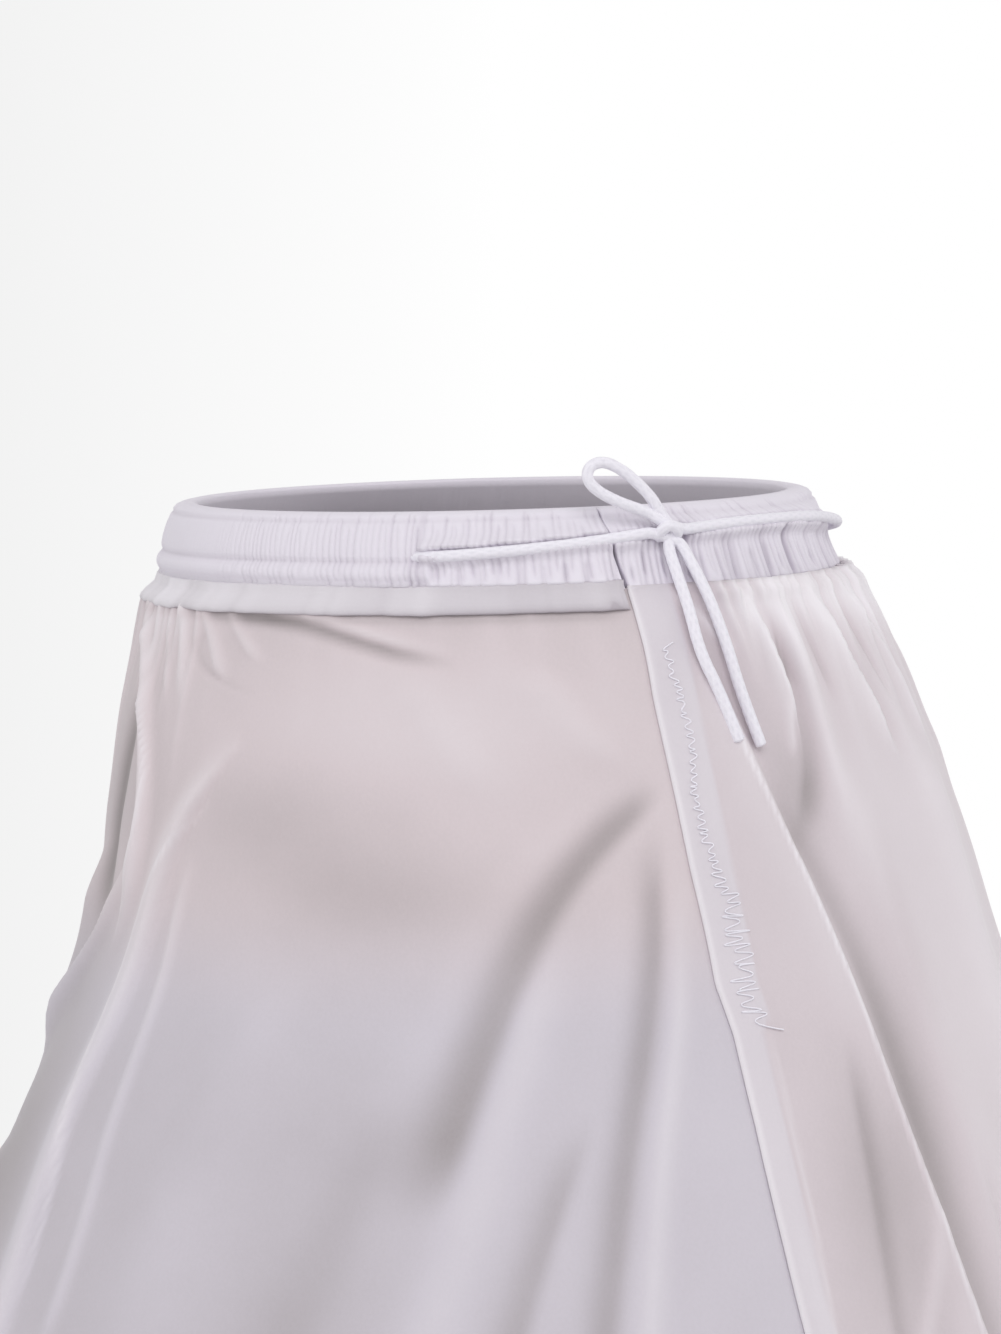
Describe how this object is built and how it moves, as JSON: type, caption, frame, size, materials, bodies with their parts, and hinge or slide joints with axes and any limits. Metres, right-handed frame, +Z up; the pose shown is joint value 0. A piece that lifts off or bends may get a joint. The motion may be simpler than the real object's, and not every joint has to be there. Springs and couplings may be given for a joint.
{
  "type": "hoop petticoat",
  "caption": "Flared cloth petticoat held out by sprung hoops, with a gathered elastic waistband and a tied side drawstring over a placket.",
  "frame": {"origin": "centre of the waist opening, level with the waistband's top edge", "axes": "+Z up along the wearer, -Y to the wearer's front, +X to the wearer's left, where the placket and bow are"},
  "size_m": [0.928, 0.928, 1.0184],
  "materials": {
    "gathered_cotton": "fine gathered white cloth, matt",
    "elastic": "ribbed woven elastic",
    "skirt_cloth": "thin smooth white lining cloth with a soft sheen",
    "facing_cloth": "white cloth with overlocked edges",
    "hoop_steel": "flat sprung steel, satin",
    "connector_plastic": "white moulded sleeve",
    "casing_tape": "white woven tape",
    "cord_cotton": "round braided white cord"
  },
  "bodies": {
    "root": {"waistband_casing": "gathered_cotton", "waist_elastic": "elastic", "waist_binding": "skirt_cloth", "front_panel": "skirt_cloth", "back_panel": "skirt_cloth", "placket_facing": "facing_cloth", "placket_underlap": "facing_cloth", "hem_facing": "facing_cloth", "hoop_bone_1": "hoop_steel", "hoop_bone_2": "hoop_steel", "hoop_bone_3": "hoop_steel", "hoop_connector_1": "connector_plastic", "hoop_connector_2": "connector_plastic", "hoop_connector_3": "connector_plastic", "hoop_casing_1": "casing_tape", "hoop_casing_2": "casing_tape", "hoop_casing_3": "casing_tape", "drawstring_in_casing": "cord_cotton", "drawstring_front_run": "cord_cotton", "drawstring_back_run": "cord_cotton", "drawstring_knot": "cord_cotton", "drawstring_bow_loop": "cord_cotton", "drawstring_front_tail": "cord_cotton", "drawstring_back_tail": "cord_cotton"}
  },
  "joints": []
}
